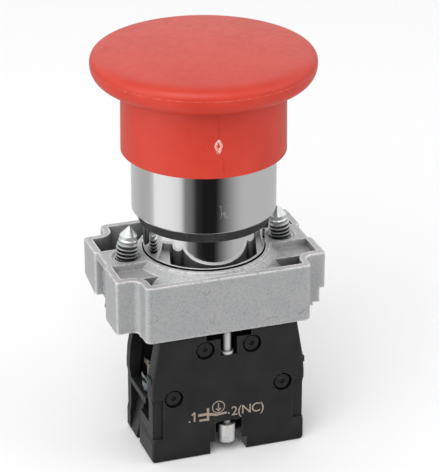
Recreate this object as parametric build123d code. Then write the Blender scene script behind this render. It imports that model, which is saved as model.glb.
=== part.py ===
"""Spring-return mushroom push button for a 22 mm panel hole, with its collar and contact block.

Frame: millimetres, +Z along the button's axis towards the cap, origin where the axis crosses
the panel's outer face (the underside of the gasket). -Y is the front, where the block's cover is.
"""
import os
from math import cos, radians, sin

from build123d import *

os.makedirs("parts", exist_ok=True)

# ------------------------------------------------------------------ general clearances
fit_gap = 0.05          # radial clearance of a shaft that slides or turns in its hole
seat_gap = 0.05         # play left between a piece and the seat it rests on
same_gap = 0.03         # clearance of a piece that is pressed into its holder
end_gap = 0.3           # free space left in front of a moving piece at the end of its travel
edge_break = 0.25       # chamfer on moulded and turned edges
past = 1.0              # cutting tools run this far past the surface they cut

# ------------------------------------------------------------------ panel, barrel and bezel
barrel_d = 22.0         # passes through the panel hole
barrel_relief = 0.2     # radial step above and below the stretch that sits in the panel
barrel_l = 14.9         # from the panel's outer face to the barrel's lower end
barrel_wall = 1.5
panel_gap = 5.9         # free space for the panel between gasket and collar
neck_end = 0.3          # the full barrel diameter stops this far above the collar
gasket_t = 2.0
gasket_w = 0.8          # from the barrel to the gasket's lower edge
gasket_flare = 0.7      # the gasket's upper edge is this much wider
gasket_play = 0.02
bezel_ledge = 2.0       # the sleeve is this much wider than the barrel, all round
bezel_h = 17.0          # height of the sleeve above its underside
bezel_wall = 1.7
bezel_lip = 0.5         # chamfer at the sleeve's mouth
bezel_round = 0.35      # rounding of the sleeve's lower rim
web_top = 5.2           # upper face of the web that guides the stem
web_t = 5.4

# ------------------------------------------------------------------ stem, bush, seal and spring
stem_r = 5.0
spigot_r = 3.5          # upper end of the stem, held in the cap's boss
spigot_l = 7.5
foot_play = 0.6         # radial space around the stem's foot in the barrel
foot_recess_r = 3.6
foot_top_wall = 3.0
bush_wall = 1.55
bush_h = 3.2
seal_space = 2.7        # radial space between the seal's flange and the sleeve
seal_flange_t = 0.6
spring_wire = 0.9
spring_in = 1.1         # from the flange's edge to the spring's mean radius
spring_turns = 7
small_spring_turns = 7

# ------------------------------------------------------------------ mushroom cap
cap_d = 40.0
press_travel = 4.3
skirt_gap = 0.4         # radial space between the sleeve and the skirt around it
skirt_wall = 1.4
skirt_draft = 0.12      # the skirt is this much narrower at its top
skirt_clear = 11.4      # height of the skirt's edge above the sleeve's underside, at rest
skirt_h = 12.6
skirt_neck = 1.0        # small hollow between the skirt and the mushroom's underside
rim_up = 3.6            # widest line of the mushroom, above its underside
shoulder_up = 5.75      # edge of the gently domed top
crown_up = 6.7          # middle of the domed top
shoulder_in = 3.4       # radial width of the rounded shoulder
cap_top_wall = 2.6
boss_r = 5.6
boss_end = 18.5         # height of the boss's lower face
rib_t = 1.2
rib_bite = 0.5          # ribs and boss run this far into the walls around them
rib_depth = 2.6
rib_count = 6
under_slope = 0.1       # slope of the mushroom's underside where it meets the skirt

# ------------------------------------------------------------------ fixing collar
collar_h = 10.9
bore_play = 0.2         # radial space between the barrel and the collar's bore
front_out = 3.2         # outer faces of the front and rear walls, beyond the bore
side_out = 4.3          # ends of the front and rear walls, beyond the bore
lobe_out = 5.68         # outer faces of the side lobes, beyond the clamp screws' tips
lobe_depth = 20.4
lobe_lift = 0.7         # the lobes end this far above the collar's lower face
wall_t = 1.3
inner_round, outer_round, lobe_round = 1.6, 1.2, 0.6
notch_soft = 0.8        # share of a notch's depth that its corners may be rounded by
ring_t = 0.75           # thickness of the bore's rim at the top
pocket_d = 7.2
flank_profile = ((0.15, 0.4), (1.0, 1.2), (2.6, 3.4))   # growth of radius, depth below the rim
flank_foot = 3.4        # growth of the flank's radius down to the pocket's floor
flank_out = 0.8         # behind the axis, the flank reaches this far beyond the bore, sideways
platform_half = 3.3     # half width of the screw platforms, front to back
platform_root = 0.7     # each platform starts this far inside the bore's wall
platform_t = 8.0        # from the collar's top to the wells of the clamp screws
shelf_d = 1.4           # depth of the shelf in front of each platform
shelf_w = 3.9           # how far it reaches to the front
notch_half = 3.0        # half width of the notch between two lobes
notch_top_in = 0.6      # depth of the notch along the top lip, and below it
notch_low_in = 1.5
notch_lip = 1.6
step_in = (1.1, 2.35)   # two steps under one lobe of each pair, from its outer face
step_z = (6.9, 9.6)     # their depths below the collar's top, at the lobe's outer corner
step_mid = 8.4          # depth of both beside the notch
step_run = 2.0          # length of the step that stays level beside the notch
soft_top, soft_low = 0.25, 0.35   # rounding of the walls' upper and lower edges
lug_h = 1.8
lug_angle = 14.0
lug_drop = 4.7          # the lugs' upper faces, below the collar's top
lug_root = 0.3          # the lugs start this far inside the bore's wall
groove_depth = 0.85
groove_play = 0.1
groove_side = 4.0       # extra angle of a bayonet groove over its lug
groove_turn = 35.0

# ------------------------------------------------------------------ clamp screws
clamp_r = 2.0
clamp_off = 2.82        # the clamp screws' tips, beyond the bore
clamp_tip_drop = 0.1    # the tips stay this far below the panel's outer face
clamp_lean = 6.5        # degrees that each screw leans towards the axis
clamp_cone = 1.7
tip_flat = 0.12         # half width of the flat left on the point
clamp_l = 14.2
clamp_pitch = 0.7
thread_depth = 0.43
thread_run_in = (0.30, 0.12)   # how much smaller the first ridges behind the point are
clamp_head_r = 3.0
clamp_head_h = 2.0
clamp_slot_w = 0.8
clamp_slot_d = 0.9
well_play = 0.4
mouth_out = 0.2         # the open side of each well starts this far beyond the bore
sink_r, sink_floor_r, sink_depth = 2.75, 2.3, 0.3   # shallow dish around each clamp screw

# ------------------------------------------------------------------ contact block housing
terminal_out = 3.1      # from the terminals' axes to the block's sides
block_top_in = 1.5      # each side leans in by this at the top
block_h = 24.5
block_lip = 1.3         # from the fixing screw's axis to the block's front face
case_t = 12.7           # the case behind the cover
taper_h = 7.5
cover_t = 2.6
edge_in = 0.2           # the housing's edge steps in by this between the two notch levels
edge_top, edge_low = 12.8, 19.5
edge_step = 1.0         # height of the slope at each change of width
foot_round = 0.7
nib_top, nib_h, nib_out = 7.55, 1.05, 0.3
panel_in, panel_deep = 2.1, 0.4
panel_top, panel_low = 11.8, 19.7
notch_w, notch_h, notch_depth = 7.0, 2.5, 7.5
head_bay_w, head_bay_top, head_bay_depth = 5.0, 18.7, 3.2
bay_bevel = 0.8
tee_w, tee_h = 8.5, 1.35
tee_stem_w, tee_stem_h = 3.2, 4.75
post_r = 1.35
pit_r = 1.8
pit_depth = 0.9
post_sunk = 0.4
post_dimple_r, post_dimple_d = 0.55, 0.3
post_root = 0.5
upper_posts = (4.4, 3.2)       # distance from the middle, depth below the block's top
side_posts = (4.15, 11.95)     # distance from the block's side, depth below its top
chamber_play = 1.2      # free space at each end of the contact bridge
chamber_top, chamber_low = 5.6, 18.1
chamber_back = 2.7
carriage_bay_top = 2.2
bay_roof = 1.2
bay_back = 1.8
bay_top_d, bay_low_d = 3.2, 1.8   # depth of the wire bay's rear part, at its top and bottom
shelf_top, shelf_thick = 13.35, 1.2
low_bay_d = 2.2
guide_rear = 2.3        # the slanted wire guide starts this far behind the terminals' axes
slot_d, slot_front = 2.7, 0.1   # open slot between the wire guide and the front block
low_block_top = 17.15
recess_wall = 1.2       # between the contact chamber and the deep terminal recess
recess_play = 0.4       # from that wall to the terminal screw's head
recess_back = 1.1       # wall left behind the recess
shelf_slot = 2.0        # opening in the shelf behind the cover
driver_r = 2.0

# ------------------------------------------------------------------ contacts and terminals
contact_back = 5.0      # from the cover's rear face to the contacts' middle plane
plunger_r = 2.0
carriage_wider = 0.6    # the carriage is this much wider than the plunger, on each side
carriage_half_y = 2.2
carriage_top, carriage_low = 3.4, 13.4
window_top, window_low = 8.4, 12.2
window_half_y = 1.7
bar_top, bar_t = 7.6, 1.0
bar_half_y = 1.9
bar_play = 1.0          # between the carriage and the fixed bars
bar_end = 1.5           # the bars run this far beyond the terminals' axes
tip_r, tip_t = 1.2, 0.5
bridge_end = 1.4        # the bridge runs this far beyond the tips' axes
bridge_half_y, bridge_t = 1.6, 0.8
contact_spring_r, contact_spring_wire = 1.0, 0.25
plunger_spring_r, plunger_spring_wire = 1.5, 0.35
plunger_well_r, plunger_well_end = 2.1, 21.2
terminal_r = 1.5
terminal_head_r, terminal_head_h = 2.4, 1.8
terminal_top = 7.2
clamp_plate_half, clamp_plate_t = 2.0, 0.8
terminal_slot_w, terminal_slot_d = 0.7, 0.8

# ------------------------------------------------------------------ block fixing screw
fix_out = 1.3           # the fixing screw's axis, beyond the collar's bore
fix_r = 0.8
fix_thread_r = 1.0
fix_pitch = 0.4
fix_thread_depth = 0.15
fix_grip = 5.6          # length of thread in the collar
fix_hole_l = 6.0
fix_head_r, fix_head_h = 1.6, 3.7
fix_head_gap = 0.3
fix_slot_w, fix_slot_d = 0.5, 1.0
ring_r, ring_h = 1.25, 0.5

# ------------------------------------------------------------------ levels that follow from the above
barrel_r = barrel_d / 2
neck_r = barrel_r - barrel_relief
barrel_bore_r = neck_r - barrel_wall
bezel_r = barrel_r + bezel_ledge
gasket_bottom_r = barrel_r + gasket_w
gasket_top_r = gasket_bottom_r + gasket_flare
foot_r = barrel_bore_r - foot_play
seal_flange_r = bezel_r - bezel_wall - seal_space
spring_mean_r = seal_flange_r - spring_in
collar_bore_r = barrel_r + bore_play
collar_depth = 2 * (collar_bore_r + front_out)
collar_w = 2 * (collar_bore_r + side_out)      # width of the front and rear walls
clamp_tip_x = collar_bore_r + clamp_off
lobe_w = 2 * (clamp_tip_x + lobe_out)           # width across the side lobes
fix_y = -(collar_bore_r + fix_out)
block_front = fix_y - block_lip
collar_top = -panel_gap
collar_low = collar_top - collar_h
block_top = collar_low
block_low = block_top - block_h
skirt_in = bezel_r + skirt_gap
skirt_out = skirt_in + skirt_wall
skirt_low = gasket_t + skirt_clear
cap_under = skirt_low + skirt_h
cap_crown = cap_under + crown_up
cap_shoulder_r = cap_d / 2 - shoulder_in
web_low = web_top - web_t
foot_top = web_low - 2 * seat_gap
bush_r = stem_r + fit_gap
bush_out = bush_r + bush_wall
bush_top = web_low + bush_h
spring_low = web_top + seal_flange_t
spring_high = cap_crown - cap_top_wall - rib_depth
plunger_top = block_top + press_travel + end_gap
stem_low = plunger_top
well_r = clamp_head_r + well_play

# the block's width is worked out from the middle to the sides
carriage_half_x = plunger_r + carriage_wider
bar_inner = carriage_half_x + bar_play
tip_x = bar_inner + tip_r
bridge_half_x = tip_x + bridge_end
chamber_half = bridge_half_x + chamber_play
recess_in = chamber_half + recess_wall
terminal_x = recess_in + recess_play + terminal_head_r
block_half = terminal_x + terminal_out
bar_outer = terminal_x + bar_end

# and its depth from the front to the rear
cover_back = block_front + cover_t
contact_y = cover_back + contact_back
block_back = cover_back + case_t


# ------------------------------------------------------------------ helpers
def save(name, shape):
    """Write one node. A group of separate solids goes out as one compound."""
    export_step(shape, f"parts/{name}.step")


def span(x0, x1, y0, y1, z0, z1):
    """An upright box between two corners."""
    size = Box(abs(x1 - x0), abs(y1 - y0), abs(z1 - z0))
    return Pos((x0 + x1) / 2, (y0 + y1) / 2, (z0 + z1) / 2) * size


def rod(r, z0, z1, x=0.0, y=0.0):
    """An upright cylinder."""
    return Pos(x, y, (z0 + z1) / 2) * Cylinder(r, abs(z1 - z0))


def turned(points):
    """A solid of revolution about Z from (radius, height) corners."""
    outline = make_face(Polyline(*[(r, 0, z) for r, z in points], close=True))
    return revolve(outline, Axis.Z, 360)


def coil(mean_r, wire, z0, z1, turns, x=0.0, y=0.0):
    """A round-wire spring whose outer faces lie at z0 and z1."""
    height = z1 - z0 - wire
    path = Pos(x, y, z0 + wire / 2) * Helix(height / turns, height, mean_r)
    section = Plane(path @ 0, z_dir=path % 0) * Circle(wire / 2)
    return sweep(section, path, is_frenet=True)


def side_profile(points):
    """A face in the XZ plane from (x, z) corners."""
    return make_face(Polyline(*[(x, 0, z) for x, z in points], close=True))


def along_y(face, y0, y1):
    """Push an XZ face along Y, from y0 to y1."""
    return Pos(0, y0, 0) * extrude(face, y1 - y0, dir=(0, 1, 0))


def along_x(points, x0, x1):
    """A prism along X from (y, z) corners."""
    face = make_face(Polyline(*[(x0, y, z) for y, z in points], close=True))
    return extrude(face, x1 - x0, dir=(1, 0, 0))


def both_sides(shape):
    """A shape and its mirror image across the YZ plane."""
    return [shape, mirror(shape, Plane.YZ)]


def threaded(r, length, pitch, depth, run_in=()):
    """An upright rod with thread ridges, from 0 to length. run_in shrinks the last ridges."""
    points = [(0, 0), (r - depth, 0)]
    turns = int(length / pitch)
    for turn in range(turns):
        left = turns - 1 - turn
        crest = r - run_in[left] if left < len(run_in) else r
        rise = turn * pitch
        points += [(r - depth, rise + pitch / 10), (crest, rise + pitch * 4 / 9)]
        points += [(crest, rise + pitch * 5 / 9), (r - depth, rise + pitch * 9 / 10)]
    points += [(r - depth, length), (0, length)]
    return turned(points)


# ------------------------------------------------------------------ head
def mushroom_cap():
    """Domed mushroom with a rounded rim, a thin skirt, a boss for the stem and ribs between."""
    rim_r, rim_z = cap_d / 2, cap_under + rim_up
    shoulder = (cap_shoulder_r, cap_under + shoulder_up)
    skirt_top_r = skirt_out - skirt_draft
    with BuildPart() as cap:
        with BuildSketch(Plane.XZ):
            with BuildLine():
                dome = ThreePointArc(
                    (0, cap_crown),
                    (shoulder[0] / 2, cap_crown - (cap_crown - shoulder[1]) / 4),
                    shoulder,
                )
                Spline(
                    shoulder,
                    (rim_r, rim_z),
                    tangents=(dome % 1, (0, -1)),
                )
                Spline(
                    (rim_r, rim_z),
                    (skirt_top_r + skirt_neck, cap_under),
                    tangents=((0, -1), (-1, -under_slope)),
                )
                Line((skirt_top_r + skirt_neck, cap_under), (skirt_top_r, cap_under - end_gap))
                Line((skirt_top_r, cap_under - end_gap), (skirt_out, skirt_low))
                Line((skirt_out, skirt_low), (0, skirt_low))
                Line((0, skirt_low), (0, cap_crown))
            make_face()
        revolve(axis=Axis.Z)
    ceiling = cap_crown - cap_top_wall
    body = cap.part - rod(skirt_in, skirt_low - past, ceiling)
    body += rod(boss_r, boss_end, ceiling + rib_bite)
    for n in range(rib_count):
        rib = span(boss_r - rib_bite, skirt_in + rib_bite, -rib_t / 2, rib_t / 2,
                   ceiling - rib_depth, ceiling + rib_bite)
        body += Rot(0, 0, n * 360 / rib_count) * rib
    body -= rod(spigot_r + fit_gap, boss_end - past, boss_end + spigot_l + end_gap)
    return body


def push_stem():
    """Spigot, shaft and wide foot. The foot's top is the upward stop under the bezel's web."""
    stem = rod(spigot_r, boss_end - past, boss_end + spigot_l)
    stem += rod(stem_r, foot_top - past, boss_end)
    stem += rod(foot_r, stem_low, foot_top)
    stem -= rod(foot_recess_r, stem_low - past, foot_top - foot_top_wall)
    return stem


def bezel_body():
    """Sleeve, guide web and panel barrel in one casting, with two bayonet grooves."""
    body = rod(bezel_r, gasket_t, gasket_t + bezel_h)
    body = chamfer(body.edges().group_by(Axis.Z)[-1], bezel_lip)
    body = fillet(body.edges().group_by(Axis.Z)[0], bezel_round)
    body += rod(neck_r, -barrel_l, gasket_t + past)
    body += rod(barrel_r, collar_top + neck_end, 0)
    body -= rod(bezel_r - bezel_wall, web_top, gasket_t + bezel_h + past)
    body -= rod(barrel_bore_r, -barrel_l - past, web_low)
    body -= rod(bush_out + same_gap, web_low - past, web_top + past)
    lower_rim = body.edges().group_by(Axis.Z)[0].sort_by(SortBy.RADIUS)[-1]
    body = chamfer(lower_rim, edge_break)
    groove_r = neck_r - groove_depth
    lug_top = collar_top - lug_drop
    entry = lug_angle + groove_side
    for start in (0, 180):
        entry_leg = sector(groove_r, neck_r + past, start - entry / 2, start + entry / 2,
                           -barrel_l - past, lug_top + seat_gap)
        turn_leg = sector(groove_r, neck_r + past, start - entry / 2, start + entry / 2 + groove_turn,
                          lug_top - lug_h - groove_play, lug_top + seat_gap)
        body -= entry_leg
        body -= turn_leg
    return body


def sector(r0, r1, a0, a1, z0, z1):
    """Part of a ring between two radii, two angles in degrees and two heights."""
    mid = radians((a0 + a1) / 2)
    a0, a1 = radians(a0), radians(a1)
    outer = ThreePointArc((r1 * cos(a0), r1 * sin(a0)), (r1 * cos(mid), r1 * sin(mid)),
                          (r1 * cos(a1), r1 * sin(a1)))
    inner = ThreePointArc((r0 * cos(a1), r0 * sin(a1)), (r0 * cos(mid), r0 * sin(mid)),
                          (r0 * cos(a0), r0 * sin(a0)))
    edges = [outer, Line(outer @ 1, inner @ 0), inner, Line(inner @ 1, outer @ 0)]
    return Pos(0, 0, z0) * extrude(make_face(edges), z1 - z0, dir=(0, 0, 1))


def guide_bush():
    return rod(bush_out, web_low, bush_top) - rod(bush_r, web_low - past, bush_top + past)


def stem_seal():
    """Rubber ring in the web's bore, with a flange that the spring holds down."""
    seal = rod(bush_out, bush_top, web_top) + rod(seal_flange_r, web_top, spring_low)
    return seal - rod(bush_r, bush_top - past, spring_low + past)


def panel_gasket():
    inner = barrel_r + gasket_play
    return turned([(inner, 0), (gasket_bottom_r, 0), (gasket_top_r, gasket_t), (inner, gasket_t)])


# ------------------------------------------------------------------ collar
def clamp_frame(side):
    """Placement of a clamp screw: its local Z runs from head to tip. side is -1 or 1."""
    tip = (side * clamp_tip_x, 0, -clamp_tip_drop)
    return Pos(*tip) * Rot(0, -side * clamp_lean, 0)


def collar_outline(notch_in=None):
    """Walls' outer outline: two crossed rectangles with soft corners, and a notch at each side."""
    outline = Rectangle(collar_w, collar_depth) + Rectangle(lobe_w, lobe_depth)
    corner_round = lobe_round
    if notch_in is not None:
        corner_round = min(lobe_round, notch_in * notch_soft)
        for side in (-1, 1):
            outline -= Pos(side * (lobe_w - notch_in), 0) * Rectangle(lobe_w, 2 * notch_half)
    near = edge_break
    inner_corners = [v for v in outline.vertices() if abs(abs(v.X) - collar_w / 2) < near
                     and abs(abs(v.Y) - lobe_depth / 2) < near]
    outline = fillet(inner_corners, inner_round)
    outer_corners = [v for v in outline.vertices() if abs(abs(v.X) - collar_w / 2) < near
                     and abs(abs(v.Y) - collar_depth / 2) < near]
    outline = fillet(outer_corners, outer_round)
    lobe_corners = [v for v in outline.vertices() if abs(abs(v.X) - lobe_w / 2) < near]
    return fillet(lobe_corners, corner_round)


def fixing_collar():
    """Open-topped cast frame with a bored rim, two screw platforms, shelves and lobes."""
    low_slab = extrude(collar_outline(notch_low_in), collar_h - notch_lip)
    low_slab = fillet(low_slab.edges().group_by(Axis.Z)[0], soft_low)
    top_slab = extrude(collar_outline(notch_top_in), notch_lip)
    top_slab = fillet(top_slab.edges().group_by(Axis.Z)[-1], soft_top)
    body = Pos(0, 0, collar_low) * low_slab + Pos(0, 0, collar_top - notch_lip) * top_slab
    inside = offset(collar_outline(), -wall_t, kind=Kind.INTERSECTION)
    floor = collar_top - pocket_d
    pocket = Pos(0, 0, floor) * extrude(inside, pocket_d + past)
    rim_r = collar_bore_r + ring_t
    slope = [(rim_r + grow, collar_top - down) for grow, down in flank_profile]
    flank = turned([(0, collar_top), (rim_r, collar_top)] + slope
                   + [(rim_r + flank_foot, floor), (0, floor)])
    side_trim = span(collar_bore_r + flank_out, lobe_w, 0, collar_depth, floor - past, collar_top + past)
    for trim in both_sides(side_trim):
        flank -= trim
    pocket -= flank
    root_x = collar_bore_r - platform_root
    platform = span(root_x, lobe_w, -platform_half, platform_half, floor, collar_top)
    shelf = span(root_x, lobe_w, -platform_half - shelf_w, -platform_half + past,
                 floor, collar_top - shelf_d)
    for piece in both_sides(platform) + both_sides(shelf):
        pocket -= piece
    body -= pocket
    body -= rod(collar_bore_r, collar_low - past, collar_top + past)

    # the lobes' lower faces: all lifted, and one of each pair stepped and sloped
    lift = span(collar_w / 2 + seat_gap, lobe_w, -collar_depth, collar_depth,
                collar_low - past, collar_low + lobe_lift)
    for piece in both_sides(lift):
        body -= piece
    corner, beside = -lobe_depth / 2, -notch_half
    under = [(beside + past, collar_top - step_mid), (beside + past, collar_low - past),
             (corner - past, collar_low - past)]
    outer_step = [(corner - past, collar_top - step_z[0]), (corner, collar_top - step_z[0]),
                  (beside, collar_top - step_mid)]
    inner_step = [(corner - past, collar_top - step_z[1]),
                  (beside - 2 * step_run, collar_top - step_z[1]),
                  (beside - step_run, collar_top - step_mid)]
    for inward, slope in zip(step_in, (outer_step, inner_step)):
        step = along_x(slope + under, lobe_w / 2 - inward, lobe_w)
        body -= step
        body -= Rot(0, 0, 180) * step

    # clamp screws: tapped hole with a countersink, and an open well for the head
    for side in (-1, 1):
        frame = clamp_frame(side)
        to_top = (panel_gap - clamp_tip_drop) / cos(radians(clamp_lean))
        hole = frame * rod(clamp_r + fit_gap, -clamp_l - past, past)
        well = frame * rod(well_r, -clamp_l - clamp_head_h - 2 * past, -to_top - platform_t)
        dish = turned([(0, -sink_depth), (sink_floor_r, -sink_depth), (sink_r, 0),
                       (sink_r, past), (0, past)])
        sink = Pos(side * (clamp_tip_x + to_top * sin(radians(clamp_lean))), 0, collar_top) * dish
        body -= hole
        body -= well
        body -= sink
        mouth = span(side * (collar_bore_r + mouth_out), side * lobe_w, -notch_half, notch_half,
                     collar_low - past, collar_top - platform_t)
        body -= mouth

    # bayonet lugs inside the bore
    lug_top = collar_top - lug_drop
    lug_in = neck_r - groove_depth + groove_play
    for start in (0, 180):
        body += sector(lug_in, collar_bore_r + lug_root, start - lug_angle / 2, start + lug_angle / 2,
                       lug_top - lug_h, lug_top)

    # one tapped hole for a block at the front and one at the rear
    for y in (fix_y, -fix_y):
        body -= rod(fix_thread_r + fit_gap, collar_low - past, collar_low + fix_hole_l, y=y)
    return body


def clamp_screw(side):
    """Pointed screw: threaded shank, cone tip and slotted cheese head."""
    shank = threaded(clamp_r, clamp_l - clamp_cone, clamp_pitch, thread_depth, thread_run_in)
    core = clamp_r - thread_depth
    neck = -clamp_cone - clamp_pitch / 2
    tip = turned([(0, neck), (core, neck), (core, -clamp_cone), (tip_flat, 0), (0, 0)])
    head = rod(clamp_head_r, -clamp_l - clamp_head_h, -clamp_l)
    head = chamfer(head.edges().group_by(Axis.Z)[0], edge_break)
    slot = span(-clamp_head_r - past, clamp_head_r + past, -clamp_slot_w / 2, clamp_slot_w / 2,
                -clamp_l - clamp_head_h - past, -clamp_l - clamp_head_h + clamp_slot_d)
    cross = Rot(0, 0, 90) * slot
    return clamp_frame(side) * (Pos(0, 0, -clamp_l) * shank + tip + (head - slot - cross))


# ------------------------------------------------------------------ contact block
def level(depth):
    """Height of a plane that lies this far below the block's top."""
    return block_top - depth


def housing(y0, y1):
    """A slab of the housing: tapered upper part, sides with shallow steps, rounded feet."""
    half = [(block_half - block_top_in, 0), (block_half - edge_in, taper_h),
            (block_half, taper_h + 3 * edge_step),
            (block_half, edge_top - edge_step), (block_half - edge_in, edge_top),
            (block_half - edge_in, edge_low), (block_half, edge_low + edge_step), (block_half, block_h)]
    right = [(x, level(d)) for x, d in half]
    left = [(-x, z) for x, z in reversed(right)]
    slab = along_y(side_profile(right + left), y0, y1)
    feet = slab.edges().filter_by(Axis.Y).group_by(Axis.Z)[0]
    return fillet(feet, foot_round)


def posts(r, y0, y1):
    """Four rods along Y at the places of the housing's posts."""
    places = []
    for x, d in (upper_posts, (block_half - side_posts[0], side_posts[1])):
        places += [(x, level(d)), (-x, level(d))]
    return [Pos(x, (y0 + y1) / 2, z) * Rot(90, 0, 0) * Cylinder(r, abs(y1 - y0)) for x, z in places]


def foot_notch():
    """Slot across the front of the block's lower end."""
    return span(-notch_w / 2, notch_w / 2, block_front - past, block_front + notch_depth,
                block_low - past, block_low + notch_h)


def head_bay():
    """Open bay around the fixing screw's head, with a bevel at the front edge of its roof."""
    roof = level(head_bay_top)
    bay = span(-head_bay_w / 2, head_bay_w / 2, block_front - past,
               block_front + head_bay_depth, block_low, roof)
    corner = make_face(Polyline((0, block_front - bay_bevel, roof), (0, block_front + bay_bevel, roof),
                                (0, block_front - bay_bevel, roof + 2 * bay_bevel), close=True))
    return bay + Pos(-head_bay_w / 2, 0, 0) * extrude(corner, head_bay_w, dir=(1, 0, 0))


def block_cover():
    """Front half of the housing."""
    cover = housing(block_front, cover_back)
    front_edges = cover.edges().group_by(Axis.Y)[0]
    cover = chamfer(front_edges, edge_break)
    nib = span(block_half - past, block_half - edge_in + nib_out, block_front + edge_break,
               cover_back, level(nib_top + nib_h), level(nib_top))
    for piece in both_sides(nib):
        cover += piece
    side_panel = span(block_half - panel_in, block_half + past, block_front - past,
                      block_front + panel_deep, level(panel_low), level(panel_top))
    for piece in both_sides(side_panel):
        cover -= piece
    cover -= foot_notch()
    cover -= head_bay()
    tee_back = cover_back + past
    cover -= span(-tee_w / 2, tee_w / 2, block_front - past, tee_back, level(tee_h), block_top + past)
    cover -= span(-tee_stem_w / 2, tee_stem_w / 2, block_front - past, tee_back,
                  level(tee_stem_h), block_top + past)
    cover -= rod(fix_r + 2 * fit_gap, block_low, block_top + past, y=fix_y)
    for hole in posts(post_r + fit_gap, block_front - past, cover_back + past):
        cover -= hole
    for pit in posts(pit_r, block_front - past, block_front + pit_depth):
        cover -= pit
    return cover


def block_case():
    """Rear half of the housing: contact chamber, wire bays, screwdriver holes and posts."""
    case = housing(cover_back, block_back)
    open_front = cover_back - past
    chamber_rear = block_back - chamber_back
    case -= span(-chamber_half, chamber_half, open_front, chamber_rear,
                 level(chamber_low), level(chamber_top))
    case -= span(-carriage_half_x - end_gap, carriage_half_x + end_gap, open_front,
                 chamber_rear, level(chamber_top + past), level(carriage_bay_top))
    case -= rod(plunger_r + fit_gap, level(carriage_bay_top + past), block_top + past, y=contact_y)
    case -= rod(plunger_well_r, level(plunger_well_end), level(chamber_low - past), y=contact_y)

    bay_rear = block_back - bay_back
    beyond = block_half + past
    shelf_low = level(shelf_top + shelf_thick)
    bay_high_x, bay_low_x, slot_x = block_half - bay_top_d, block_half - bay_low_d, block_half - slot_d
    upper = [(bay_high_x, level(bay_roof)), (beyond, level(bay_roof)),
             (beyond, level(shelf_top)), (bay_low_x, level(shelf_top))]
    wire_bay = along_y(side_profile(upper), open_front, bay_rear)
    lower = [(block_half - low_bay_d, shelf_low), (beyond, shelf_low), (block_half, block_low)]
    guide_y, slot_y = contact_y + guide_rear, contact_y + slot_front
    low_bay = along_y(side_profile(lower), guide_y, bay_rear)
    side_slot = span(slot_x, beyond, slot_y, guide_y + seat_gap, block_low - past, shelf_low)
    small_bay = span(slot_x, beyond, open_front, slot_y + seat_gap, level(low_block_top), shelf_low)
    deep = [(recess_in, level(bay_roof)), (bay_high_x, level(bay_roof)),
            (bay_low_x, level(shelf_top)), (recess_in, level(shelf_top))]
    recess = along_y(side_profile(deep), open_front, block_back - recess_back)
    gap_in_shelf = span(slot_x, beyond, open_front, cover_back + shelf_slot,
                        level(low_block_top), level(shelf_top - past))
    bar_slot = span(chamber_half - past, recess_in + past, open_front, contact_y + bar_half_y + fit_gap,
                    level(bar_top + bar_t + fit_gap), level(bar_top - fit_gap))
    driver = rod(driver_r, block_low - past, level(shelf_top - past), x=terminal_x, y=contact_y)
    for cut in (wire_bay, low_bay, side_slot, small_bay, recess, gap_in_shelf, bar_slot, driver):
        for piece in both_sides(cut):
            case -= piece
    post_seat = span(recess_in - past, block_half - side_posts[0] + post_r, cover_back,
                     contact_y - terminal_head_r - end_gap, level(shelf_top + past),
                     level(side_posts[1] - post_r))
    for seat in both_sides(post_seat):
        case += seat
    case -= foot_notch()
    case -= head_bay()
    post_end = block_front + post_sunk
    for post in posts(post_r, post_end, cover_back + post_root):
        case += post
    for dimple in posts(post_dimple_r, post_end - past, post_end + post_dimple_d):
        case -= dimple
    return case


def block_fixing_screw():
    """Slim captive screw: slotted head at the rear, thread in the collar."""
    head_top = level(head_bay_top) - fix_head_gap
    head_low = head_top - fix_head_h
    screw = rod(fix_r, head_low + past, block_top, y=fix_y)
    screw += Pos(0, fix_y, block_top) * threaded(fix_thread_r, fix_grip, fix_pitch, fix_thread_depth)
    head = chamfer(rod(fix_head_r, head_low, head_top, y=fix_y).edges().group_by(Axis.Z)[0], edge_break)
    slot = span(-fix_head_r - past, fix_head_r + past, fix_y - fix_slot_w / 2, fix_y + fix_slot_w / 2,
                head_low - past, head_low + fix_slot_d)
    return screw + (head - slot)


def screw_retaining_ring():
    low = level(tee_stem_h) + seat_gap
    ring = rod(ring_r, low, low + ring_h, y=fix_y)
    return ring - rod(fix_r + same_gap, low - past, low + ring_h + past, y=fix_y)


def contact_plunger():
    """Round push rod with a windowed carriage for the bridge."""
    plunger = rod(plunger_r, level(carriage_top + past), plunger_top, y=contact_y)
    plunger = chamfer(plunger.edges().group_by(Axis.Z)[-1], edge_break)
    plunger += span(-carriage_half_x, carriage_half_x, contact_y - carriage_half_y,
                    contact_y + carriage_half_y, level(carriage_low), level(carriage_top))
    plunger -= span(-carriage_half_x - past, carriage_half_x + past, contact_y - window_half_y,
                    contact_y + window_half_y, level(window_low), level(window_top))
    return plunger


bar_low = level(bar_top + bar_t)
bridge_high = bar_low - 2 * tip_t


def fixed_contact():
    """Flat bar from the terminal screw to the contact tip, on the right-hand side."""
    bar = span(bar_inner, bar_outer, contact_y - bar_half_y, contact_y + bar_half_y,
               bar_low, level(bar_top))
    return bar - rod(terminal_r + fit_gap, bar_low - past, level(bar_top) + past,
                     x=terminal_x, y=contact_y)


def tips(z0, z1):
    """Two round contact tips."""
    return Compound(children=[rod(tip_r, z0, z1, x=x, y=contact_y) for x in (-tip_x, tip_x)])


def contact_bridge():
    return span(-bridge_half_x, bridge_half_x, contact_y - bridge_half_y, contact_y + bridge_half_y,
                bridge_high - bridge_t, bridge_high)


head_top_z = level(shelf_top) + 3 * seat_gap + terminal_head_h


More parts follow.
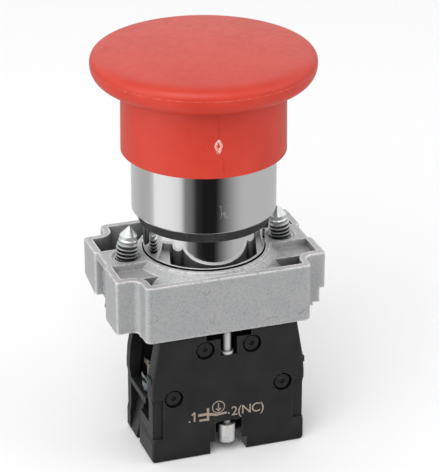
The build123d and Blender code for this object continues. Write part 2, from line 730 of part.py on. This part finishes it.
def terminal_screw():
    """Slotted terminal screw, head down, on the right-hand side."""
    screw = rod(terminal_r, head_top_z - past, level(terminal_top), x=terminal_x, y=contact_y)
    head = rod(terminal_head_r, head_top_z - terminal_head_h, head_top_z, x=terminal_x, y=contact_y)
    low = head_top_z - terminal_head_h
    reach = terminal_head_r + past
    slot = span(terminal_x - reach, terminal_x + reach, contact_y - terminal_slot_w / 2,
                contact_y + terminal_slot_w / 2, low - past, low + terminal_slot_d)
    return screw + (head - slot)


def terminal_clamp():
    """Square clamp plate between the terminal screw's head and the bar."""
    low = head_top_z + seat_gap
    plate = span(terminal_x - clamp_plate_half, terminal_x + clamp_plate_half,
                 contact_y - clamp_plate_half, contact_y + clamp_plate_half, low, low + clamp_plate_t)
    return plate - rod(terminal_r + fit_gap, low - past, low + clamp_plate_t + past,
                       x=terminal_x, y=contact_y)


# ------------------------------------------------------------------ write every node
save("mushroom_cap", mushroom_cap())
save("push_stem", push_stem())
save("bezel_body", bezel_body())
save("guide_bush", guide_bush())
save("stem_seal", stem_seal())
save("panel_gasket", panel_gasket())
save("return_spring", coil(spring_mean_r, spring_wire, spring_low, spring_high, spring_turns))
save("fixing_collar", fixing_collar())
save("clamp_screw_left", clamp_screw(-1))
save("clamp_screw_right", clamp_screw(1))
save("block_cover", block_cover())
save("block_case", block_case())
save("block_fixing_screw", block_fixing_screw())
save("screw_retaining_ring", screw_retaining_ring())
save("contact_plunger", contact_plunger())
save("plunger_spring", coil(plunger_spring_r, plunger_spring_wire, level(plunger_well_end),
                            level(carriage_low), small_spring_turns, y=contact_y))
save("contact_spring", coil(contact_spring_r, contact_spring_wire, level(window_low),
                            bridge_high - bridge_t, small_spring_turns // 2, y=contact_y))
save("contact_bridge", contact_bridge())
save("bridge_tips", tips(bridge_high, bridge_high + tip_t))
save("fixed_tips", tips(bar_low - tip_t, bar_low))
for name, make in (("fixed_contact", fixed_contact), ("terminal_screw", terminal_screw),
                   ("terminal_clamp", terminal_clamp)):
    right, left = both_sides(make())
    save(name + "_right", right)
    save(name + "_left", left)
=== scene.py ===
"""Looks of the mushroom push button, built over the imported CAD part.

Lengths are in metres, in the part's own frame: the head's axis is Z and the front is -Y.
"""
import math

import bmesh
import bpy
from mathutils import Matrix, Vector


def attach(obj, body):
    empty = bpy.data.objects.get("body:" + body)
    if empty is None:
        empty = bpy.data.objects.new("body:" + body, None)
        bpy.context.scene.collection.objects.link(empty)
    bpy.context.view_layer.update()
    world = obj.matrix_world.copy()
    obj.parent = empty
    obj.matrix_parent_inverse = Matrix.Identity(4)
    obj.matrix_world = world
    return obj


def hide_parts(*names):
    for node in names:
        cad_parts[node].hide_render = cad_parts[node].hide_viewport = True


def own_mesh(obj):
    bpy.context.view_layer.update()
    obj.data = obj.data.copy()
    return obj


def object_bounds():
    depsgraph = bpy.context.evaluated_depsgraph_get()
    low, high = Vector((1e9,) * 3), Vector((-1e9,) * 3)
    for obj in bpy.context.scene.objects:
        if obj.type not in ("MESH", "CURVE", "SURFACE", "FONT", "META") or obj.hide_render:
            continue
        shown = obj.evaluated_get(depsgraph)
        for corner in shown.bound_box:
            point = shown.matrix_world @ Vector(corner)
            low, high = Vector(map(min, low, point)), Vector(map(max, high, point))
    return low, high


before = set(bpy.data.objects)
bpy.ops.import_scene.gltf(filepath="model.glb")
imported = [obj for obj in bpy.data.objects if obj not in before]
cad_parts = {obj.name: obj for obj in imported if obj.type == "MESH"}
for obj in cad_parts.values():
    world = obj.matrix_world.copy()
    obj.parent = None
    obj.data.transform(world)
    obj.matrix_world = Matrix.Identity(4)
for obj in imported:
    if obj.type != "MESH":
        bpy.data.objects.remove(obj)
cad_box = [list(map(float, v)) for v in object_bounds()]
scene = bpy.context.scene

MM = 0.001

# marks on the red cap; a pair gives where a mark fades out and where it is full
FLASH_Z = 0.0296                       # the mould's parting line round the mushroom
FLASH_HALF = (0.00009, 0.00005)        # distance from that line
GATE_ANGLE = math.radians(-98.8)       # where the moulding was fed, on the skirt
GATE_Z = 0.01925
WELD_HALF = (0.024, 0.002)             # radians from the middle of a weld line
WELD_LINES = (                         # turn from the gate, lowest and highest Z
    (0.0, GATE_Z + 0.0015, 0.0260),
    (0.060, 0.0135, GATE_Z - 0.0015),
)

# the rubbed spot on the chrome sleeve, with pairs as above
SCUFF_ANGLE, SCUFF_Z = math.radians(-90.0), 0.0062
SCUFF_HALF_TURN = (0.16, 0.10)
SCUFF_HALF_HEIGHT = (0.0016, 0.0011)


# ---------------------------------------------------------------- shader helpers
class Nodes:
    """Short calls that add the usual nodes to a node tree."""

    def __init__(self, tree):
        self.tree = tree

    def node(self, kind, inputs=(), **settings):
        n = self.tree.nodes.new("ShaderNode" + kind)
        for key, value in settings.items():
            setattr(n, key, value)
        for key, value in dict(inputs).items():
            self.feed(n.inputs[key], value)
        return n

    def feed(self, socket, value):
        if isinstance(value, bpy.types.NodeSocket):
            self.tree.links.new(value, socket)
        else:
            socket.default_value = value

    def ramp(self, fac, low, high, a=0.0, b=1.0):
        """From a to b as fac goes from low to high, and level outside."""
        n = self.node("MapRange", {"Value": fac, "From Min": low, "From Max": high,
                                   "To Min": a, "To Max": b})
        return n.outputs[0]

    def math(self, op, a, b):
        return self.node("Math", {0: a, 1: b}, operation=op).outputs[0]

    def mix(self, fac, a, b):
        n = self.node("Mix", {"Factor": fac}, data_type="RGBA")
        for socket, value in ((6, a), (7, b)):
            is_socket = isinstance(value, bpy.types.NodeSocket)
            self.feed(n.inputs[socket], value if is_socket else (*value, 1.0))
        return n.outputs[2]


class Shader(Nodes):
    """A material around one Principled BSDF; settings are its constant inputs."""

    def __init__(self, name, **settings):
        self.mat = bpy.data.materials.new(name)
        self.mat.use_nodes = True
        super().__init__(self.mat.node_tree)
        self.bsdf = self.tree.nodes["Principled BSDF"]
        self.coords = self.tree.nodes.new("ShaderNodeTexCoord").outputs["Object"]
        for key, value in settings.items():
            self.bsdf.inputs[key.replace("_", " ")].default_value = value

    def place(self):
        """X, Y and Z in the part's frame."""
        return self.node("SeparateXYZ", {0: self.coords}).outputs

    def noise(self, size, detail=3.0, rough=0.55, stretch=(1, 1, 1)):
        """Noise whose features are about size millimetres across."""
        scale = [s * 1000.0 / size for s in stretch]
        vector = self.node("Mapping", {"Vector": self.coords, "Scale": scale}).outputs[0]
        n = self.node("TexNoise", {"Vector": vector, "Scale": 1.0, "Detail": detail,
                                   "Roughness": rough})
        return n.outputs["Fac"]

    def away(self, value, centre):
        """How far value is from centre, to either side."""
        return self.math("ABSOLUTE", self.math("SUBTRACT", value, centre), 0.0)

    def both(self, *masks):
        """Up only where every mask is."""
        out = masks[0]
        for mask in masks[1:]:
            out = self.math("MULTIPLY", out, mask)
        return out

    def over(self, base, colour, mask, amount=1.0):
        """The colour laid over the base where the mask is up."""
        return self.mix(self.math("MULTIPLY", mask, amount), base, colour)

    def edges(self, radius, low, high):
        """Near 1 on a sharp edge, 0 on a flat: the bevelled normal set against the true one."""
        bevel = self.node("Bevel", {"Radius": radius}, samples=4).outputs[0]
        normal = self.node("NewGeometry").outputs["Normal"]
        dot = self.node("VectorMath", {0: bevel, 1: normal}, operation="DOT_PRODUCT")
        return self.ramp(dot.outputs["Value"], low, high)

    def painted_shade(self, reach, low, high):
        """0 deep inside a hollow, 1 out in the open: how much is free within reach, for painting
        shade into hollows.
        """
        out = self.node("AmbientOcclusion", {"Distance": reach}, samples=8).outputs["AO"]
        return self.ramp(out, low, high)

    def colour(self, value):
        self.tree.links.new(value, self.bsdf.inputs["Base Color"])

    def roughness(self, value):
        self.tree.links.new(value, self.bsdf.inputs["Roughness"])

    def mottled(self, pattern, low, high):
        """Roughness that wanders between low and high with a noise pattern."""
        self.roughness(self.ramp(pattern, 0.3, 0.7, low, high))

    def bump(self, height, strength, distance):
        out = self.node("Bump", {"Height": height, "Strength": strength, "Distance": distance})
        self.tree.links.new(out.outputs[0], self.bsdf.inputs["Normal"])


# ---------------------------------------------------------------- materials
def red_plastic():
    """Semi-gloss moulded plastic: slight colour drift, fine grain, soft flow marks, pale specks,
    the parting line and two dark weld lines by the gate."""
    s = Shader("red_plastic", IOR=1.49, Specular_IOR_Level=0.50)
    drift = s.ramp(s.noise(9.0, 2.0), 0.35, 0.65)
    base = s.mix(drift, (0.52, 0.026, 0.009), (0.56, 0.034, 0.014))
    specks = s.ramp(s.noise(0.35, 2.0, 0.5), 0.70, 0.76)
    base = s.over(base, (0.72, 0.16, 0.12), specks, 0.25)
    x, y, z = s.place()
    broken = s.ramp(s.noise(0.8, 3.0, 0.7), 0.42, 0.60)
    flash = s.both(s.ramp(s.away(z, FLASH_Z), *FLASH_HALF), broken)
    base = s.over(base, (0.88, 0.46, 0.38), flash, 0.20)
    turn = s.math("ARCTAN2", y, x)
    for shift, low, high in WELD_LINES:
        line = s.ramp(s.away(turn, GATE_ANGLE + shift), *WELD_HALF)
        broken = s.ramp(s.noise(0.8, 4.0, 0.8), 0.44, 0.60)
        start = s.ramp(z, low - 0.0003, low + 0.0004)
        end = s.ramp(z, high, high - 0.0006)
        base = s.over(base, (0.33, 0.010, 0.005), s.both(line, broken, start, end), 0.60)
    s.colour(base)
    s.mottled(s.noise(1.4, 4.0), 0.36, 0.46)
    grain = s.math("MULTIPLY", s.noise(0.12, 2.0), 0.25)
    flow = s.noise(2.5, 3.0, 0.5, stretch=(0.35, 0.35, 1.4))
    s.bump(s.math("ADD", grain, flow), 0.12, 0.00008)
    return s.mat


def chrome():
    """Bright chrome plate with hair scratches, faint waviness, dust and one rubbed spot."""
    s = Shader("chrome_plate", Metallic=1.0)
    dust = s.ramp(s.noise(0.25, 3.0), 0.66, 0.74)
    s.colour(s.over((0.80, 0.80, 0.805), (0.62, 0.62, 0.62), dust, 0.3))
    haze = s.ramp(s.noise(3.0, 4.0), 0.45, 0.75, 0.045, 0.11)
    scratch = s.ramp(s.noise(0.22, 5.0, 0.65, stretch=(0.10, 0.10, 1.0)), 0.64, 0.70)
    x, y, z = s.place()
    turn = s.away(s.math("ARCTAN2", y, x), SCUFF_ANGLE)
    patch = s.both(s.ramp(turn, *SCUFF_HALF_TURN), s.ramp(s.away(z, SCUFF_Z), *SCUFF_HALF_HEIGHT))
    hair = s.away(s.noise(1.7, 1.0, 0.5, stretch=(1.0, 1.0, 0.6)), 0.50)
    scuff = s.math("MULTIPLY", s.both(patch, s.ramp(hair, 0.020, 0.008)), 4.0)
    scratch = s.math("MAXIMUM", scratch, scuff)
    s.roughness(s.math("ADD", haze, s.math("MULTIPLY", scratch, 0.10)))
    s.bump(s.noise(6.0, 2.0), 0.05, 0.00010)
    return s.mat


def zinc():
    """Matte die-cast zinc: speckled grey, fine pits, edges brightened by wear and a painted
    highlight, a few hair scratches, and painted shade in hollows.
    """
    s = Shader("zinc_casting", Metallic=0.45)
    cloud = s.ramp(s.noise(4.5, 3.0), 0.35, 0.65)
    base = s.mix(cloud, (0.345, 0.355, 0.365), (0.395, 0.395, 0.395))
    speck = s.ramp(s.noise(0.26, 3.0, 0.7), 0.38, 0.62)
    base = s.over(base, (0.56, 0.57, 0.58), speck, 0.50)
    grit = s.ramp(s.noise(0.24, 2.0, 0.6), 0.35, 0.65)
    base = s.over(base, (0.66, 0.66, 0.66), grit, 0.30)
    dull = s.ramp(s.noise(0.34, 4.0, 0.75), 0.44, 0.36)
    base = s.over(base, (0.20, 0.205, 0.215), dull, 0.40)
    pits = s.ramp(s.noise(0.45, 2.0, 0.5), 0.27, 0.235)
    base = s.over(base, (0.05, 0.05, 0.055), pits, 0.8)
    hair = s.ramp(s.away(s.noise(7.0, 2.0, 0.5), 0.46), 0.0030, 0.0012)
    sparse = s.ramp(s.noise(5.0, 1.0), 0.56, 0.60)
    scratch = s.both(hair, sparse)
    base = s.over(base, (0.06, 0.06, 0.07), scratch, 0.75)
    # pale edges: partly wear, partly a painted highlight where light would catch the edge
    rubbed = s.ramp(s.noise(0.9, 3.0, 0.7), 0.36, 0.52)
    base = s.over(base, (0.90, 0.87, 0.86), s.both(s.edges(0.00055, 0.990, 0.930), rubbed))
    # painted shade: the grey darkens towards near-black in hollows and recesses
    s.colour(s.mix(s.painted_shade(0.010, 0.10, 0.46), (0.030, 0.033, 0.037), base))
    s.mottled(s.noise(0.5, 4.0), 0.40, 0.55)
    grain = s.math("SUBTRACT", s.noise(0.20, 3.0, 0.7), pits)
    s.bump(s.math("SUBTRACT", grain, scratch), 0.45, 0.00007)
    return s.mat


def plated(name="plated_steel", tint=(0.70, 0.76, 0.77), rough=0.28, metal=0.75, reach=0.0008,
           deep=(0.62, 0.97)):
    """Zinc-plated steel: bluish bright metal, with painted shade where it is shut in, as in
    thread roots.
    """
    s = Shader(name, Metallic=metal)
    cast = s.ramp(s.noise(1.1, 3.0), 0.35, 0.65)
    warm = (tint[0] * 1.06, tint[1] * 0.99, tint[2] * 0.94)
    base = s.mix(cast, tint, warm)
    grime = s.ramp(s.noise(0.4, 4.0, 0.6), 0.40, 0.28)
    base = s.over(base, (0.22, 0.22, 0.21), grime, 0.5)
    # painted shade: darkened towards near-black in hollows within reach, such as thread roots
    s.colour(s.mix(s.painted_shade(reach, *deep), (0.02, 0.02, 0.02), base))
    s.mottled(s.noise(0.35, 3.0), rough, rough + 0.16)
    s.bump(s.noise(0.2, 3.0), 0.12, 0.00003)
    return s.mat


def black_plastic():
    """Glass-filled black plastic with a fine spark-eroded texture, pale edges from rubbing and a
    painted highlight, and painted shade in hollows.
    """
    s = Shader("black_moulding", IOR=1.5, Specular_IOR_Level=0.36)
    drift = s.ramp(s.noise(5.0, 3.0), 0.3, 0.7)
    tone = s.mix(drift, (0.0125, 0.0125, 0.013), (0.01875, 0.01875, 0.0195))
    specks = s.ramp(s.noise(0.30, 3.0, 0.7), 0.66, 0.74)
    tone = s.over(tone, (0.06, 0.06, 0.06), specks, 0.5)
    # pale edges: partly wear, partly a painted highlight
    worn_and_highlight = s.both(s.edges(0.00015, 0.99, 0.85), s.ramp(s.noise(0.7, 3.0), 0.35, 0.65))
    tone = s.over(tone, (0.12, 0.12, 0.125), worn_and_highlight, 0.7)
    # painted shade: near-black in hollows
    s.colour(s.mix(s.painted_shade(0.005, 0.25, 0.8), (0.002, 0.002, 0.002), tone))
    s.mottled(s.noise(0.8, 4.0), 0.37, 0.54)
    s.bump(s.noise(0.10, 3.0, 0.6), 0.35, 0.00004)
    return s.mat


def rubber():
    """Moulded rubber, slightly dusty."""
    s = Shader("black_rubber", IOR=1.5)
    dust = s.ramp(s.noise(0.5, 4.0), 0.45, 0.75)
    s.colour(s.mix(dust, (0.018, 0.018, 0.018), (0.05, 0.05, 0.048)))
    s.roughness(s.ramp(dust, 0.0, 1.0, 0.50, 0.70))
    s.bump(s.noise(0.2, 3.0), 0.25, 0.00004)
    return s.mat


def white_plastic():
    """Natural white plastic of the guide bush."""
    s = Shader("white_moulding", IOR=1.5)
    s.colour(s.mix(s.noise(1.5, 3.0), (0.66, 0.65, 0.61), (0.76, 0.75, 0.71)))
    s.mottled(s.noise(0.6, 3.0), 0.38, 0.5)
    s.bump(s.noise(0.15, 3.0), 0.2, 0.00003)
    return s.mat


def brass():
    """Rolled brass, drawn along X, with painted shade that darkens it deep inside the block."""
    s = Shader("contact_brass", Metallic=1.0)
    base = s.mix(s.noise(0.9, 4.0), (0.30, 0.19, 0.07), (0.44, 0.31, 0.14))
    # painted shade: darkened towards near-black deep in the block
    s.colour(s.mix(s.painted_shade(0.012, 0.55, 1.0), (0.02, 0.015, 0.01), base))
    s.mottled(s.noise(0.3, 3.0, 0.5, stretch=(0.2, 1, 1)), 0.2, 0.36)
    s.bump(s.noise(0.15, 3.0, 0.5, stretch=(0.1, 1, 1)), 0.12, 0.00003)
    return s.mat


def silver():
    """Contact tips."""
    s = Shader("contact_silver", Metallic=1.0)
    s.colour(s.mix(s.noise(0.5, 4.0), (0.70, 0.69, 0.66), (0.88, 0.87, 0.85)))
    s.mottled(s.noise(0.2, 3.0), 0.25, 0.42)
    s.bump(s.noise(0.12, 3.0), 0.15, 0.00003)
    return s.mat


def ink():
    """Beige laser marking: porous, the black shows through in places."""
    s = Shader("marking", IOR=1.45)
    gaps = s.ramp(s.noise(0.14, 3.0, 0.6), 0.36, 0.30)
    s.colour(s.mix(gaps, (0.31, 0.25, 0.205), (0.04, 0.035, 0.03)))
    s.mottled(s.noise(0.2, 2.0), 0.55, 0.75)
    s.bump(s.noise(0.12, 3.0), 0.2, 0.00002)
    return s.mat


def scar(name, dull, pale):
    """Torn red plastic, stress-whitened in places; in the pit the dull colour is painted shade.
    """
    s = Shader(name, IOR=1.49)
    s.colour(s.mix(s.ramp(s.noise(0.25, 3.0), 0.42, 0.60), dull, pale))
    s.mottled(s.noise(0.2, 3.0), 0.25, 0.45)
    s.bump(s.noise(0.15, 3.0), 0.5, 0.00006)
    return s.mat


RED, CHROME, ZINC, STEEL = red_plastic(), chrome(), zinc(), plated()
SCAR = scar("gate_scar", (0.62, 0.11, 0.08), (0.90, 0.55, 0.48))
# the chipped middle: the near-black is painted shade in the pit, the pale is stress-whitening
PIT = scar("gate_pit_shaded", (0.05, 0.004, 0.003), (0.75, 0.50, 0.45))
BLACK, RUBBER, WHITE = black_plastic(), rubber(), white_plastic()
BRASS, SILVER, INK = brass(), silver(), ink()
SPRING = plated("spring_wire", (0.48, 0.48, 0.47), 0.28)
# reach and deep set how far and how strongly shade is painted into hollows
PALE = plated("fixing_screw_steel", (0.62, 0.64, 0.65), 0.40, metal=0.35, reach=0.004,
              deep=(0.25, 0.85))
# a darker copy of the plated steel, as painted shade on the terminal parts shut in the block;
# reach and deep also paint shade in hollows
TERMINAL = plated("terminal_steel_shaded", (0.24, 0.30, 0.34), 0.25, reach=0.012, deep=(0.55, 1.0))
MATERIALS = {
    "mushroom_cap": RED, "push_stem": BLACK, "bezel_body": CHROME, "guide_bush": WHITE,
    "stem_seal": RUBBER, "panel_gasket": RUBBER, "return_spring": SPRING,
    "fixing_collar": ZINC, "clamp_screw_left": STEEL, "clamp_screw_right": STEEL,
    "block_cover": BLACK, "block_case": BLACK, "block_fixing_screw": PALE,
    "screw_retaining_ring": PALE, "contact_plunger": BLACK, "plunger_spring": SPRING,
    "contact_spring": SPRING, "contact_bridge": BRASS, "bridge_tips": SILVER,
    "fixed_contact_left": BRASS, "fixed_contact_right": BRASS, "fixed_tips": SILVER,
    "terminal_screw_left": TERMINAL, "terminal_screw_right": TERMINAL,
    "terminal_clamp_left": TERMINAL, "terminal_clamp_right": TERMINAL,
}
for name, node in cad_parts.items():
    node.data.materials.clear()
    node.data.materials.append(MATERIALS[name])


# ---------------------------------------------------------------- camera
AZIMUTH, ELEVATION = math.radians(-18.738), math.radians(24.935)
DISTANCE = 0.432299
AIM_Z = -5.9 * MM                      # the point on the axis that it circles
PAN, TILT, ROLL = math.radians(-0.375), math.radians(0.209), math.radians(-0.10)
LENS_TO_SENSOR = 2390.588 / 472        # focal length over the picture's longer side


def turned(a, b, angle):
    """Two directions turned together in their own plane, a towards b."""
    return a * math.cos(angle) + b * math.sin(angle), b * math.cos(angle) - a * math.sin(angle)


def camera():
    """In front, a little to the left and above. Pan, tilt and roll turn it on the spot."""
    level = math.cos(ELEVATION)
    back = Vector((math.sin(AZIMUTH) * level, -math.cos(AZIMUTH) * level, math.sin(ELEVATION)))
    right = Vector((math.cos(AZIMUTH), math.sin(AZIMUTH), 0))
    up = back.cross(right)
    place = back * DISTANCE + Vector((0, 0, AIM_Z))
    back, right = turned(back, right, PAN)
    up, back = turned(up, back, TILT)
    right, up = turned(right, up, ROLL)
    cam = bpy.data.cameras.new("camera")
    cam.sensor_fit = "AUTO"
    cam.lens = LENS_TO_SENSOR * cam.sensor_width
    obj = bpy.data.objects.new("camera", cam)
    scene.collection.objects.link(obj)
    obj.matrix_world = Matrix((
        (right.x, up.x, back.x, place.x), (right.y, up.y, back.y, place.y),
        (right.z, up.z, back.z, place.z), (0, 0, 0, 1)))
    scene.camera = obj


camera()


# ---------------------------------------------------------------- small pieces
def finish_piece(obj, body, material):
    obj.data.materials.clear()
    obj.data.materials.append(material)
    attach(obj, body)


def mesh_object(name, bm):
    bmesh.ops.recalc_face_normals(bm, faces=bm.faces)
    mesh = bpy.data.meshes.new(name)
    bm.to_mesh(mesh)
    bm.free()
    obj = bpy.data.objects.new(name, mesh)
    scene.collection.objects.link(obj)
    return obj


def pressed_spring(node, body):
    """A copy of a coil spring on its own mesh, carried by the body, in place of the hidden
    original.
    """
    piece = bpy.data.objects.new(node + "_wire", bpy.data.objects[node].data.copy())
    scene.collection.objects.link(piece)
    finish_piece(piece, body, SPRING)
    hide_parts(node)
    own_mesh(piece)


# the marking on the block's front: millimetres, X to the right and Z up
FRONT = -0.0138                        # that face's Y
MARK_UP = 0.00002                      # the marking stands this far off it
STROKE_STEP = 1e-8                     # each face a little further out, so that none coincide
RING_X, RING_Z, RING_R, RING_STEPS = -1.95, -31.75, 1.15, 40
RING = [(RING_X + RING_R * math.cos(a), RING_Z + RING_R * math.sin(a))
        for a in [math.tau * i / RING_STEPS for i in range(RING_STEPS + 1)]]
ARROW_Z = -32.5                        # the tip of the arrow in the ring
CONTACT_SIGN = (                       # the points of a stroke, its width
    ([(-6.95, -32.55), (-6.5, -32.15), (-6.5, -33.95)], 0.30),      # figure one
    ([(-5.7, -32.85), (-4.1, -32.85)], 0.50),                       # left contact, upper line
    ([(-3.95, -31.75), (-3.95, -34.15)], 0.42),                     # its upright
    ([(-5.5, -33.95), (-4.1, -33.95)], 0.42),                       # lower line
    ([(-3.75, -32.95), (-2.2, -33.30)], 0.50),                      # moving arm
    ([(-2.3, -33.30), (-0.45, -33.15)], 0.40),                      # right contact
    ([(-7.55, -33.85), (-7.4, -33.85)], 0.30),                      # left dot
    ([(-0.05, -33.35), (0.10, -33.35)], 0.30),                      # right dot
    (RING, 0.17),
    ([(RING_X, -31.0), (RING_X, ARROW_Z)], 0.20),                   # arrow's shaft
    ([(-2.4, -32.05), (RING_X, ARROW_Z), (-1.5, -32.05)], 0.20),    # arrow's head
)


def lettering(text, x, z, size, name):
    """Flat characters on the block's front face, with their lower left corner at (x, z) in mm."""
    curve = bpy.data.curves.new(name, "FONT")
    curve.body = text
    curve.size = size * MM
    curve.extrude = MARK_UP / 2
    curve.offset = 0.00001
    curve.space_character = 0.92
    obj = bpy.data.objects.new(name, curve)
    scene.collection.objects.link(obj)
    upright = Matrix.Rotation(math.pi / 2, 4, "X")
    obj.matrix_world = Matrix.Translation((x * MM, FRONT - MARK_UP / 2, z * MM)) @ upright
    finish_piece(obj, "collar_and_block", INK)


def stroke(bm, points, width):
    """A flat ribbon through (x, z) points in mm on the block's front face."""
    for (x0, z0), (x1, z1) in zip(points, points[1:]):
        lift = MARK_UP + len(bm.faces) * STROKE_STEP
        along = Vector((x1 - x0, 0, z1 - z0)).normalized()
        side = Vector((-along.z, 0, along.x)) * width / 2
        a = Vector((x0, 0, z0)) - along * width / 4
        b = Vector((x1, 0, z1)) + along * width / 4
        corners = (a + side, b + side, b - side, a - side)
        rows = [[bm.verts.new((c.x * MM, y, c.z * MM)) for c in corners]
                for y in (FRONT - lift, FRONT + MARK_UP)]
        bm.faces.new(rows[0])
        bm.faces.new(reversed(rows[1]))
        for i in range(4):
            j = (i + 1) % 4
            bm.faces.new((rows[0][j], rows[0][i], rows[1][i], rows[1][j]))


def marking():
    """Generic terminal numbers and the standard normally-closed contact sign."""
    lettering("2(NC)", 0.45, -33.95, 2.6, "mark_two")
    bm = bmesh.new()
    for points, width in CONTACT_SIGN:
        stroke(bm, points, width)
    sign = mesh_object("mark_contact_sign", bm)
    finish_piece(sign, "collar_and_block", INK)


# the torn gate mark on the skirt
SCAR_R = 0.01479                       # the radius that its heights are measured from
SCAR_WIDE, SCAR_TALL = 0.66, 1.22      # half its size in mm
SCAR_POINTED = 1.5                     # 1 is an ellipse, more is a leaf
SCAR_STEPS = 28
SCAR_RINGS = (                         # from outside in: size, height off the skin, shift up; mm
    (1.10, -0.04, 0), (1.0, 0.06, 0), (0.88, 0.13, 0),
    (0.74, 0.05, 0), (0.50, 0.02, 0.10), (0.36, -0.08, 0.16),
)
SCAR_SLOTS = (1, 0, 0, 1, 2)           # between the rings: 0 is scar, 1 is red, 2 is pit, painted dark as shade
PIT_SLOT = 2


def gate_scar():
    """A leaf-shaped pale rim round a chipped middle painted dark as shade, with wavy outlines."""
    bm = bmesh.new()
    rings = []
    for k, (scale, lift, high) in enumerate(SCAR_RINGS):
        ring = []
        for i in range(SCAR_STEPS):
            a = math.tau * i / SCAR_STEPS
            point = math.copysign(abs(math.sin(a)) ** SCAR_POINTED, math.sin(a))
            u = SCAR_WIDE * math.cos(a) * scale * (1 + 0.08 * math.sin(3 * a + k))
            v = SCAR_TALL * point * scale * (1 + 0.05 * math.sin(2 * a + 2 * k))
            turn = GATE_ANGLE + u * MM / SCAR_R
            out = SCAR_R + (lift + 0.025 * math.sin(5 * a + 1.7 * k)) * MM
            z = GATE_Z + (v + high) * MM
            ring.append(bm.verts.new((out * math.cos(turn), out * math.sin(turn), z)))
        rings.append(ring)
    for slot, a, b in zip(SCAR_SLOTS, rings, rings[1:]):
        for i in range(SCAR_STEPS):
            j = (i + 1) % SCAR_STEPS
            bm.faces.new((a[i], a[j], b[j], b[i])).material_index = slot
    bm.faces.new(rings[-1]).material_index = PIT_SLOT
    obj = mesh_object("cap_gate_scar", bm)
    for p in obj.data.polygons:
        p.use_smooth = True
    finish_piece(obj, "cap", SCAR)
    obj.data.materials.append(RED)
    obj.data.materials.append(PIT)


pressed_spring("return_spring", "head")
pressed_spring("plunger_spring", "collar_and_block")
marking()
gate_scar()


# ---------------------------------------------------------------- stage and light
AMBIENT = (0.84, 0.84, 0.84)           # what matte surfaces are lit by
BANDS = (                              # what polished metal sees: degrees from +X to +Y, grey
    (-180, 0.95), (-168, 0.93), (-158, 0.89), (-148, 0.80), (-143, 0.60), (-138, 0.25),
    (-128, 0.16), (-120, 0.03), (-109, 0.012), (-90, 0.012), (-84, 0.06), (-80, 0.11),
    (-71, 0.235), (-60, 0.39), (-50, 0.50), (-39, 0.54), (20, 0.54), (51, 0.56), (85, 0.65),
    (120, 0.54), (140, 0.475), (154, 0.50), (162, 0.60), (168, 0.93), (180, 0.95),
)
BANDS_FADE = (0.0, 0.5)                # sine of the elevation over which they give way to sky
SKY_FADE = (0.55, 0.85)                # and over which the sky goes from its low to its high grey
SKY_LOW, SKY_HIGH = 1.35, 0.80
FLOOR_SIZE, FLOOR_GAP = 6.0, 0.00002
LAMPS = (                              # name, place, diameter, watts
    ("key", (-0.38, -0.52, 0.62), 0.80, 3.7),
    ("side", (-0.80, -0.10, 0.20), 0.50, 0.9),
    ("fill", (0.70, -0.40, 0.30), 0.60, 0.7),
)


def world_light():
    """Even surroundings for matte surfaces; a reflection sees upright bands of grey instead."""
    world = bpy.data.worlds.new("studio")
    scene.world = world
    world.use_nodes = True
    w = Nodes(world.node_tree)
    x, y, z = w.node("SeparateXYZ", {0: w.node("TexCoord").outputs["Generated"]}).outputs
    turn = w.ramp(w.math("ARCTAN2", y, x), -math.pi, math.pi)
    bands = w.node("ValToRGB", {"Fac": turn})
    steps = bands.color_ramp.elements
    while len(steps) > 1:
        steps.remove(steps[-1])
    for k, (degrees, grey) in enumerate(BANDS):
        place = (degrees + 180) / 360
        step = steps[0] if k == 0 else steps.new(place)
        step.position = place
        step.color = (grey, grey, grey, 1)
    sky = w.ramp(z, *SKY_FADE, SKY_LOW, SKY_HIGH)
    seen = w.mix(w.ramp(z, *BANDS_FADE), bands.outputs["Color"], sky)
    light = w.mix(w.node("LightPath").outputs["Is Glossy Ray"], AMBIENT, seen)
    back = w.tree.nodes["Background"]
    back.inputs["Strength"].default_value = 1.0
    w.feed(back.inputs["Color"], light)


def stage():
    """A white floor just under the part, the surroundings and three soft lamps."""
    floor_z = cad_box[0][2]
    bpy.ops.mesh.primitive_plane_add(size=FLOOR_SIZE, location=(0, 0, floor_z - FLOOR_GAP))
    floor = bpy.context.object
    floor.name = "floor"
    floor.visible_glossy = False
    white = Shader("floor", Roughness=0.9, Base_Color=(0.91, 0.91, 0.91, 1))
    floor.data.materials.append(white.mat)
    world_light()
    for name, place, size, power in LAMPS:
        light = bpy.data.lights.new(name, "AREA")
        light.shape = "DISK"
        light.size = size
        light.energy = power
        lamp = bpy.data.objects.new(name, light)
        scene.collection.objects.link(lamp)
        lamp.location = place
        lamp.rotation_euler = (-Vector(place)).to_track_quat("-Z", "Y").to_euler()


stage()
scene.view_settings.view_transform = "Standard"
